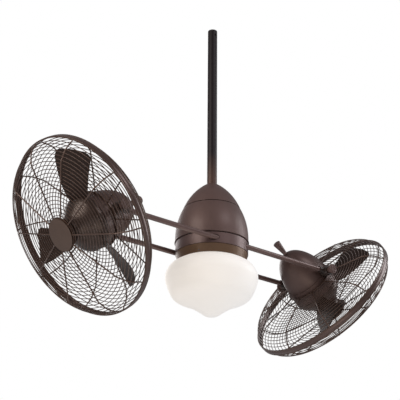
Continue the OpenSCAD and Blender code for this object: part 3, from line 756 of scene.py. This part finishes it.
def globe_wall(t):
    """The globe's side from neck to tip, moved inwards by t: arcs joined at belly and hip."""
    neck = [(NECK_R - t, z_neck), (NECK_R - t, z_fitter_low + NECK_TURN)]
    start = (NECK_R + SHOULDER_FROM[0], z_fitter_low - SHOULDER_FROM[1])
    over = (globe_r - SHOULDER_OVER[0], z_fitter_low - SHOULDER_OVER[1])
    shoulder = arc_through(start, over, (globe_r, z_belly), 28, t)
    side = (globe_r - BELLY_IN, (z_belly + z_hip) / 2)
    belly = arc_through((globe_r, z_belly), side, (HIP_R, z_hip), 24, t)
    angle = np.linspace(BUTTON_ANGLE, 0, 20)
    rise = z_globe + BUTTON_R - (BUTTON_R - t) * np.cos(angle)
    button = np.stack(((BUTTON_R - t) * np.sin(angle), rise), -1)
    outwards = np.array((math.sin(BUTTON_ANGLE), -math.cos(BUTTON_ANGLE)))
    hip_end, button_end = np.array((HIP_R, z_hip)), button[0] + t * outwards
    run = hip_end - button_end
    sag = FLARE_SAG * np.array((-run[1], run[0])) / np.linalg.norm(run)
    flare = arc_through(hip_end, (hip_end + button_end) / 2 + sag, button_end, 30, -t)
    low_side = rounded_joint(belly, flare, HIP_CUT)
    return np.concatenate((neck, shoulder[:-1], low_side[:-1], button))


lathe(
    "globe",
    np.concatenate((softened(globe_wall(GLASS))[::-1], softened(globe_wall(0)))),
    opal,
    "opal_glass",
    "fixed_body",
    replaces=["glass_globe"],
    closed=False,
    steps=FINE_ROUND_STEPS,
)

# %% [markdown]
# ## The heads' own frames
#
# Both heads are the same assembly, tilted to either side. An empty for each head could carry its
# pieces, but every object here sits unturned at the origin. So a head piece is worked out in the
# head's own frame, where Z points out of its front along the spindle and Y lies along the tilt
# axis, and `Head.place` carries its points to their place. The axes come from the frame's joints.

# %% Head frames


class Head:
    """One head: its place on the arms, its axes, and the names of its bodies."""

    def __init__(self, side):
        self.side = side
        z = np.array(joints[f"{side}_spin"]["axis"])
        y = np.array(joints[f"{side}_tilt"]["axis"])
        self.axes = np.stack((np.cross(y, z), y, z))
        self.origin = np.array(joints[f"{side}_tilt"]["pos_m"])
        self.shell_body = f"{side}_head"
        self.rotor_body = f"{side}_rotor"

    def place(self, points):
        """Points of the head's frame in the fan's frame."""
        return self.origin + points @ self.axes

    def make(self, name, points, faces, material, slot, body, replaced):
        """A piece of this head that replaces its node of the name replaced."""
        return make_piece(
            f"{self.side}_{name}",
            self.place(points),
            faces,
            material,
            body,
            [f"{self.side}_{replaced}"],
        )

    def lathe(self, name, outline, material, slot, body, replaced, **shape):
        """A turned piece of this head, round its spindle."""
        nodes = [f"{self.side}_{replaced}"]
        return lathe(
            f"{self.side}_{name}", outline, material, slot, body, self.place, nodes, **shape
        )


heads = [Head(side) for side in SIDES]
print("heads tilt about", [head.origin.round(4).tolist() for head in heads])

# %% [markdown]
# ## Dome and knob
#
# Behind the cage sits the motor in a short can, closed at the back by a deep spun dome. The dome's
# side is blunter than an arc, so it is written as a power curve: at the angle a its radius is
# R cos a and its height H sin(a)^(2/1.7). At its tail a turned knob flares outwards; that is the
# handle for tilting the head.

# %% Dome and knob
DOME_R = 61 * mm
DOME_FRONT = 3 * mm
DOME_DEPTH = 93 * mm
DOME_POWER = 1.7
DOME_EDGE = 0.4 * mm
STEM_R = 4.5 * mm
STEM_SUNK = 8 * mm
KNOB_SEAT = DOME_FRONT - DOME_DEPTH
KNOB_SEAT_R = 7 * mm
KNOB_LENGTH = 39 * mm
KNOB_R = 10 * mm
KNOB_EDGE = 0.8 * mm
KNOB_CROWN = 0.6 * mm
KNOB_RIM = (1 * mm, 1.5 * mm)
# The knob's waist: where its flare starts, and how it has grown by two fifths of the length
WAIST_FROM = (5.5 * mm, 2 * mm)
WAIST_GROWN = (7.1 * mm, 0.4 * KNOB_LENGTH)


def dome_wall(inset):
    """The dome's side from its seam to the knob's stem."""
    r = DOME_R - inset
    a = np.linspace(0, math.acos(STEM_R / r), 64)
    height = DOME_FRONT - (DOME_DEPTH - inset) * np.sin(a) ** (2 / DOME_POWER)
    return np.stack((r * np.cos(a), height), -1)


def knob_outline():
    """The knob from its stem inside the dome to its end: an arc from a waist to the rim."""
    tip = KNOB_SEAT - KNOB_LENGTH
    stem_top = KNOB_SEAT + STEM_SUNK
    stem = [(0, stem_top), (STEM_R, stem_top), (STEM_R, KNOB_SEAT), (KNOB_SEAT_R, KNOB_SEAT)]
    flare = arc_through(
        (WAIST_FROM[0], KNOB_SEAT - WAIST_FROM[1]),
        (WAIST_GROWN[0], KNOB_SEAT - WAIST_GROWN[1]),
        (KNOB_R, tip + KNOB_RIM[1]),
        28,
    )
    return np.concatenate((stem, flare, [(KNOB_R - KNOB_RIM[0], tip), (0, tip - KNOB_CROWN)]))


for head in heads:
    head.lathe(
        "dome_shell",
        eased(closed_shell(dome_wall(0), dome_wall(SHEET)), DOME_EDGE),
        dome_bronze,
        "bronze",
        head.shell_body,
        "dome",
        steps=FINE_ROUND_STEPS,
    )
    head.lathe(
        "tilt_handle",
        eased(knob_outline(), KNOB_EDGE, closed=False),
        shell_bronze,
        "bronze",
        head.shell_body,
        "knob",
        steps=48,
        closed=False,
    )

# %% [markdown]
# ## Rotor hub
#
# The rotor is a pressed bell that hides the front of the can, with three steel blades riveted to
# it. The bell's side is half a cosine wave from the can's radius down to its nose, which meets
# both without a kink, and a boss inside it sits on the spindle.

# %% Rotor bell
BELL_R = 65 * mm
BELL_NOSE_R = 30 * mm
BELL_REAR = 41.5 * mm
BELL_TURN = 47 * mm
BELL_NOSE = 101 * mm
BELL_T = 2 * mm
BELL_EDGE = 0.6 * mm
SPINDLE_R = 4 * mm
BOSS_R = 9 * mm
BOSS_LENGTH = 24 * mm


def bell_radius(w):
    """Radius of the bell at height w: BELL_R, then (1 + cos) / 2 of the way down to the nose."""
    wave = (1 + np.cos(math.pi * (w - BELL_TURN) / (BELL_NOSE - BELL_TURN))) / 2
    return np.where(w < BELL_TURN, BELL_R, BELL_NOSE_R + (BELL_R - BELL_NOSE_R) * wave)


def bell_outline():
    """Outside from the rear rim to the nose, then the spindle's boss, then the inside back."""
    w = np.linspace(BELL_TURN, BELL_NOSE, 60)
    outer = np.stack((bell_radius(w), w), -1)
    w_in = np.linspace(BELL_TURN, BELL_NOSE - 3 * BELL_T, 54)
    inner = np.stack((bell_radius(w_in) - BELL_T, w_in - BELL_T / 2), -1)
    boss_rear = BELL_NOSE - BOSS_LENGTH
    boss = [
        (SPINDLE_R, BELL_NOSE),
        (SPINDLE_R, boss_rear),
        (BOSS_R, boss_rear),
        (BOSS_R, BELL_NOSE - BELL_T),
    ]
    front_rim, back_rim = [(BELL_R, BELL_REAR)], [(BELL_R - BELL_T, BELL_REAR)]
    return np.concatenate((front_rim, outer, boss, inner[::-1], back_rim))


bell = eased(bell_outline(), BELL_EDGE)
print("bell outline:", len(bell), "points")

# %% [markdown]
# ## Blades
#
# A blade is a twisted paddle: `u` runs from root to tip and `v` across it. It widens from 35 mm
# at the root to 87 mm at its flat tip, whose two corners are quarter circles of 15 mm radius. It
# sweeps back with the square of `u`, leans towards the front guard, and its pitch falls from 29
# to 19.5 degrees. Every point is wrapped round the spindle at its own radius, so that the blade
# follows the circle it sweeps. A bent and twisted plane would come close, but its outline would
# move with each bend; here each measure is set by itself.

# %% Rotor blades
BLADES = 3
BLADE_MID = 53.5 * mm
BLADE_RISE = 18.2 * mm
BLADE_SWEEP = 22.7 * mm
BLADE_T = 1.8 * mm
BLADE_CAMBER = 2.5 * mm
BLADE_CORNER = 15 * mm
BLADE_WIDENING = 0.77
EDGE_POWER = 8
ROOT_SUNK = 0.5 * mm
ROOT_HALF = 17.4 * mm
TIP_HALF = 43.5 * mm
TIP_R = 179.4 * mm
TIP_SLANT = 2.6 * mm
ROOT_PITCH = math.radians(29)
TIP_PITCH = math.radians(19.5)
BLADE_PHASE = {"left": math.radians(95.4), "right": math.radians(27.2)}


def spun(points, angle):
    """Points turned about the spindle."""
    c, s = math.cos(angle), math.sin(angle)
    return points @ np.array(((c, s, 0), (-s, c, 0), (0, 0, 1)))


def copies_round(points, faces, count, phase=0.0):
    """One mesh of so many copies, spread evenly round the spindle from the angle phase on."""
    turns = [spun(points, phase + 2 * math.pi * k / count) for k in range(count)]
    numbers = [faces + k * len(points) for k in range(count)]
    return np.concatenate(turns), np.concatenate(numbers)


def blade_half_width(u):
    """Half width at u: it grows with u^0.77, less the quarter circles of the tip's corners."""
    grow = ROOT_HALF + (TIP_HALF - ROOT_HALF) * u**BLADE_WIDENING
    turn = BLADE_CORNER / (TIP_R - BELL_R)
    end = np.clip((u - 1 + turn) / turn, 0, 1)
    return grow - BLADE_CORNER * (1 - np.sqrt(1 - end**2))


def blade_side(u, v, side):
    """Points of one face of the blade; side is +1 for the front face and -1 for the back."""
    q = 2 * v - 1
    pitch = ROOT_PITCH + (TIP_PITCH - ROOT_PITCH) * u
    across = q * blade_half_width(u) - BLADE_SWEEP * u**2
    root = bell_radius(BLADE_MID + q * ROOT_HALF * math.tan(ROOT_PITCH)) - ROOT_SUNK
    r = root + (TIP_R + TIP_SLANT * q - root) * u
    middle = BLADE_MID + BLADE_RISE * u
    w = middle + across * np.tan(pitch) - BLADE_CAMBER * (1 - q**2) * u
    w = w + side * BLADE_T / 2 * np.sqrt(np.maximum(1 - q**EDGE_POWER, 0))
    return np.stack(np.broadcast_arrays(r * np.cos(across / r), r * np.sin(across / r), w), -1)


def blade_grid(lengths=40, widths=22):
    """Closed section loops along the blade: over the front face and back under the rear one."""
    u = np.sin(np.linspace(0, math.pi / 2, lengths))[:, None]
    v = (1 - np.cos(np.linspace(0, math.pi, widths))[None, :]) / 2
    front = blade_side(u, v, 1)
    back = blade_side(u, v, -1)[:, ::-1]
    loops = np.concatenate((front, back[:, 1:-1]), 1)
    ends = loops[[0, -1]].mean(1, keepdims=True) + np.zeros_like(loops[[0, -1]])
    return np.concatenate((ends[:1], loops, ends[1:]))


blade = blade_grid()
blade_points = blade.reshape(-1, 3)
blade_faces = grid_faces(*blade.shape[:2], False, True)
for head in heads:
    head.lathe(
        "rotor_bell",
        bell,
        rotor_bronze,
        "dark_bronze",
        head.rotor_body,
        "hub",
        steps=FINE_ROUND_STEPS,
    )
    rotor = copies_round(blade_points, blade_faces, BLADES, BLADE_PHASE[head.side])
    head.make("rotor_blades", *rotor, blade_bronze, "blade", head.rotor_body, "blades")

# %% [markdown]
# ## The wire cage
#
# A cage is welded from round wire. Ten 3.2 mm radial wires run out from a hub ring, bend round
# the shoulder and end on a rim. About twenty 1.8 mm rings are welded to their inner side, 8.6 mm
# apart. Front and rear guards clip to a rolled hoop.
#
# A radial wire's side view is a straight run with a small slope, then one circular bend. At the
# length s along it the wire's slope angle is a(s): constant on the run, then growing by 1 / bend
# radius per metre. The wires and the rings all read their places off this one path, so they touch
# each other wherever they should. A guard's path is therefore an object of its own.

# %% Guard path
WIRE_R = 1.6 * mm
HOOP_R = 210.7 * mm
HOOP_W = 10.5 * mm
HOOP_MID = 65.5 * mm
RIM_GAP = 2.1 * mm
GUARD_END_R = HOOP_R - RIM_GAP


class Guard:
    """A guard's side view in the head's frame. way is -1 for the front guard, +1 for the rear.

    From (r0, w0) it runs straight to the radius bend_from, then in one arc to the rim. An arc's
    chord has the mean of its two end slopes, which gives the slope at the rim and the bend.
    """

    def __init__(self, name, r0, w0, slope, bend_from, first_ring, way):
        self.name, self.way = name, way
        self.r0, self.w0, self.r1 = r0, w0, bend_from
        self.slope = math.radians(slope)
        self.w1 = w0 + way * (bend_from - r0) * math.tan(self.slope)
        self.end_w = HOOP_MID - way * (HOOP_W / 2 + WIRE_R)
        run, drop = GUARD_END_R - bend_from, way * (self.end_w - self.w1)
        self.end_slope = 2 * math.atan2(drop, run) - self.slope
        self.bend = run / (math.sin(self.end_slope) - math.sin(self.slope))
        self.straight = (bend_from - r0) / math.cos(self.slope)
        self.length = self.straight + self.bend * (self.end_slope - self.slope)
        self.first_ring = first_ring

    def at(self, s, inside=0.0):
        """Radius, height and slope at the lengths s along the wire, moved inwards by inside."""
        a = self.slope + np.maximum(s - self.straight, 0) / self.bend
        on_run = s < self.straight
        r = np.where(
            on_run,
            self.r0 + s * math.cos(self.slope),
            self.r1 + self.bend * (np.sin(a) - math.sin(self.slope)),
        )
        w = np.where(
            on_run,
            self.w0 + self.way * s * math.sin(self.slope),
            self.w1 + self.way * self.bend * (math.cos(self.slope) - np.cos(a)),
        )
        return r - inside * np.sin(a), w + self.way * inside * np.cos(a), a


front_guard = Guard(
    "front", 33 * mm, 120.2 * mm, slope=4.3, bend_from=164 * mm, first_ring=10.4 * mm, way=-1
)
rear_guard = Guard(
    "rear", 66 * mm, 14.6 * mm, slope=5.1, bend_from=165 * mm, first_ring=10.9 * mm, way=1
)
GUARDS = (front_guard, rear_guard)
for guard in GUARDS:
    print(guard.name, "wire", round(guard.length / mm, 1), "mm long")

# %% [markdown]
# A radial wire is the path with a circle carried along it. On the bend it is pressed in between
# the rings by its own thickness, so that both lie flush and the cage's shoulder is smooth.
#
# Each ring is a torus, whose radius and height are those of the path. All rings of a guard are
# made as one array, because they differ in nothing else.

# %% Wires along the path
SPOKES = 10
RING_WIRE_R = 0.9 * mm
RING_PITCH = 8.6 * mm
LAST_RING_GAP = 4.5 * mm


def pressed_in(guard, s):
    """How far a wire is pressed in at s: its thickness on the bend, eased at both ends."""
    after_bend, before_end = s - guard.straight, guard.length - s
    share = np.minimum(after_bend / (2 * RING_PITCH), before_end / RING_PITCH)
    return 2 * WIRE_R * np.sin(math.pi / 2 * np.clip(share, 0, 1)) ** 2


def spokes(guard, sides=12):
    """The radial wires: circles of radius WIRE_R square to the path, closed at both ends."""
    bend_s = np.linspace(guard.straight, guard.length, 32)
    s = np.concatenate((np.linspace(0, guard.straight, 8)[:-1], bend_s))
    s = np.concatenate((s[:1], s, s[-1:]))
    thick = np.full((len(s), 1), WIRE_R)
    thick[[0, -1]] = 0
    r, w, a = (row[:, None] for row in guard.at(s, pressed_in(guard, s)))
    t = around(sides)[None, :]
    out, across = thick * np.cos(t), thick * np.sin(t)
    wire = np.stack((r - out * np.sin(a), across, w + guard.way * out * np.cos(a)), -1)
    faces = grid_faces(*wire.shape[:2], False, True)
    return copies_round(wire.reshape(-1, 3), faces, SPOKES)


def ring_wires(guard, steps=144, sides=8):
    """Tori (r + b cos q, w + b sin q), turned by t, at every RING_PITCH of the path."""
    s = np.arange(guard.first_ring, guard.length - LAST_RING_GAP, RING_PITCH)
    r, w, _ = guard.at(s, WIRE_R + RING_WIRE_R)
    t = around(steps)[None, :, None]
    q = around(sides)[None, None, :]
    wide = r[:, None, None] + RING_WIRE_R * np.cos(q)
    high = w[:, None, None] + RING_WIRE_R * np.sin(q) + 0 * t
    tori = np.stack((wide * np.cos(t), wide * np.sin(t), high), -1)
    first_point = steps * sides * np.arange(len(s))[:, None, None]
    faces = grid_faces(steps, sides, True, True)[None] + first_point
    return tori.reshape(-1, 3), faces.reshape(-1, 4)


# %% [markdown]
# The inner ends of the radial wires are welded to a flat hub ring, and their outer ends to a rim
# that the hoop holds. Both are strip of square section, so an eased square is turned round the
# axis. The wires, hub ring and rim are one welded piece, as they are in the frame.

# %% Guards
RIM_HALF = 1.7 * mm
RIM_INSIDE = 1.4 * mm
STRIP_EDGE = 0.4 * mm
CAGE_ROUND_STEPS = 192
# Inner radius, outer radius, rear and front height of each guard's hub ring
HUB_RINGS = {
    "front": (28 * mm, 40 * mm, 117.4 * mm, 119.6 * mm),
    "rear": (63.05 * mm, 67.5 * mm, 13.8 * mm, 16.2 * mm),
}


def flat_ring(r_in, r_out, low, top):
    """A ring of square section whose four long edges are eased."""
    outline = eased([(r_in, low), (r_out, low), (r_out, top), (r_in, top)], STRIP_EDGE)
    grid = turned(outline, CAGE_ROUND_STEPS)
    return grid.reshape(-1, 3), grid_faces(*grid.shape[:2], True, True)


def welded(*meshes):
    """Several meshes as one."""
    starts = np.cumsum([0] + [len(points) for points, _ in meshes[:-1]])
    faces = [quads + start for (_, quads), start in zip(meshes, starts)]
    return np.concatenate([points for points, _ in meshes]), np.concatenate(faces)


def radial_wires(guard):
    """A guard's radial wires with the rim and the hub ring that they are welded to."""
    rim = sorted((guard.end_w + guard.way * WIRE_R, guard.end_w - guard.way * RIM_INSIDE))
    return welded(
        spokes(guard),
        flat_ring(GUARD_END_R - RIM_HALF, GUARD_END_R + RIM_HALF, *rim),
        flat_ring(*HUB_RINGS[guard.name]),
    )


for head in heads:
    for guard in GUARDS:
        for name, wires, replaced in (
            ("radial_wires", radial_wires(guard), "guard"),
            ("ring_wires", ring_wires(guard), "rings"),
        ):
            head.make(
                f"{guard.name}_{name}",
                *wires,
                wire_bronze,
                "dark_bronze",
                head.shell_body,
                f"{guard.name}_{replaced}",
            )

# %% [markdown]
# ## Hoop
#
# The hoop is a strip rolled to a C: an outside 10.5 mm wide, slightly crowned by the rolling, and
# two lips that hold the rims of the guards. A bent tube would hide the lips, which show from
# inside the cage, so the whole C is turned as one outline.

# %% Hoop
HOOP_T = 1.4 * mm
HOOP_CROWN = 0.9 * mm
HOOP_EDGE = 1.2 * mm
LIP = 3.8 * mm
LIP_T = 1.2 * mm


def hoop_outline():
    """The C of the hoop: crowned outside, top lip, inside, bottom lip."""
    low, top = HOOP_MID - HOOP_W / 2, HOOP_MID + HOOP_W / 2
    inner, lip_r, edge_r = HOOP_R - HOOP_T, HOOP_R - LIP, HOOP_R - HOOP_CROWN
    outside = arc_through((edge_r, low), (HOOP_R, HOOP_MID), (edge_r, top), 12)
    top_lip = [(lip_r, top), (lip_r, top - LIP_T), (inner, top - LIP_T)]
    low_lip = [(inner, low + LIP_T), (lip_r, low + LIP_T), (lip_r, low)]
    return np.concatenate((outside, top_lip, low_lip))


for head in heads:
    head.lathe(
        "cage_hoop",
        eased(hoop_outline(), HOOP_EDGE),
        hoop_bronze,
        "bronze",
        head.shell_body,
        "hoop",
        steps=CAGE_ROUND_STEPS,
    )

# %% [markdown]
# ## Room and light
#
# The room is a photographer's: white all round, with a big warm soft box on the left, a cooler
# one on the right, a weak low one that opens up the undersides, and one each behind and in front
# of the fan. Camera rays see plain white. Reflections see the same room a good deal dimmer, as a
# dark lacquer shows it. The floor is far below, and keeps the fan's shadow.

# %% World and floor
WHITE = (1, 1, 1)
REFLECTED = (0.26, 0.25, 0.26)
AMBIENT = (0.42, 0.42, 0.44)
FLOOR_Z = -2.35
FLOOR_HALF = 6.0


def room_world(background, reflected, ambient):
    """World: background for the camera, `reflected` for glossy rays, `ambient` for soft light."""
    world = bpy.data.worlds.new("studio")
    world.use_nodes = True
    tree = world.node_tree
    tree.nodes.clear()
    path = tree.nodes.new("ShaderNodeLightPath")
    shades = []
    for colour in (ambient, reflected, background):
        shade = tree.nodes.new("ShaderNodeBackground")
        shade.inputs["Color"].default_value = (*colour, 1)
        shades.append(shade.outputs[0])
    seen, glossy, white = shades
    for ray, shade in (
        ("Is Glossy Ray", glossy),
        ("Is Transmission Ray", white),
        ("Is Camera Ray", white),
    ):
        mix = tree.nodes.new("ShaderNodeMixShader")
        tree.links.new(path.outputs[ray], mix.inputs[0])
        tree.links.new(seen, mix.inputs[1])
        tree.links.new(shade, mix.inputs[2])
        seen = mix.outputs[0]
    output = tree.nodes.new("ShaderNodeOutputWorld")
    tree.links.new(seen, output.inputs["Surface"])
    bpy.context.scene.world = world


room_world(WHITE, REFLECTED, AMBIENT)

floor_mesh = bpy.data.meshes.new("floor")
floor_mesh.from_pydata(
    [(x * FLOOR_HALF, y * FLOOR_HALF, FLOOR_Z) for x, y in ((-1, -1), (1, -1), (1, 1), (-1, 1))],
    [],
    [(0, 1, 2, 3)],
)
floor_finish = Finish("pale_floor", Roughness=0.9)
floor_finish.colour(floor_finish.noise(1.5), (0.80, 0.80, 0.80), (0.84, 0.84, 0.84))
floor_mesh.materials.append(floor_finish.material)
floor = bpy.data.objects.new("floor", floor_mesh)
bpy.context.collection.objects.link(floor)
print("floor", 2 * FLOOR_HALF, "m wide")

# %% Soft boxes
AIM = Vector((0, 0, -0.62))
# Place, width, height, watts and colour of each light
SOFT_BOXES = {
    "key": ((-2.8, -0.1, 0.2), 1.8, 2.0, 60, (1.0, 0.94, 0.87)),
    "fill": ((2.55, -1.2, 0.35), 1.4, 1.8, 36, (0.95, 0.97, 1.0)),
    "low": ((-0.6, -1.5, -2.1), 1.6, 1.0, 6, (1.0, 0.86, 0.70)),
    "back": ((0.4, 2.4, 0.2), 2.0, 1.4, 18, (1, 1, 1)),
    "front": ((0.3, -2.3, 1.1), 1.2, 0.8, 16, (0.99, 0.96, 1.0)),
}


def soft_box(name, place, width, height, watts, colour):
    """A rectangular area light at place that faces AIM."""
    light = bpy.data.lights.new(name, "AREA")
    light.shape = "RECTANGLE"
    light.size = width
    light.size_y = height
    light.energy = watts
    light.color = colour
    lamp = bpy.data.objects.new(name, light)
    turn = (AIM - Vector(place)).to_track_quat("-Z", "Y")
    lamp.matrix_world = Matrix.Translation(place) @ turn.to_matrix().to_4x4()
    bpy.context.collection.objects.link(lamp)


for name, setting in SOFT_BOXES.items():
    soft_box(name, *setting)
print("soft boxes:", len(SOFT_BOXES))
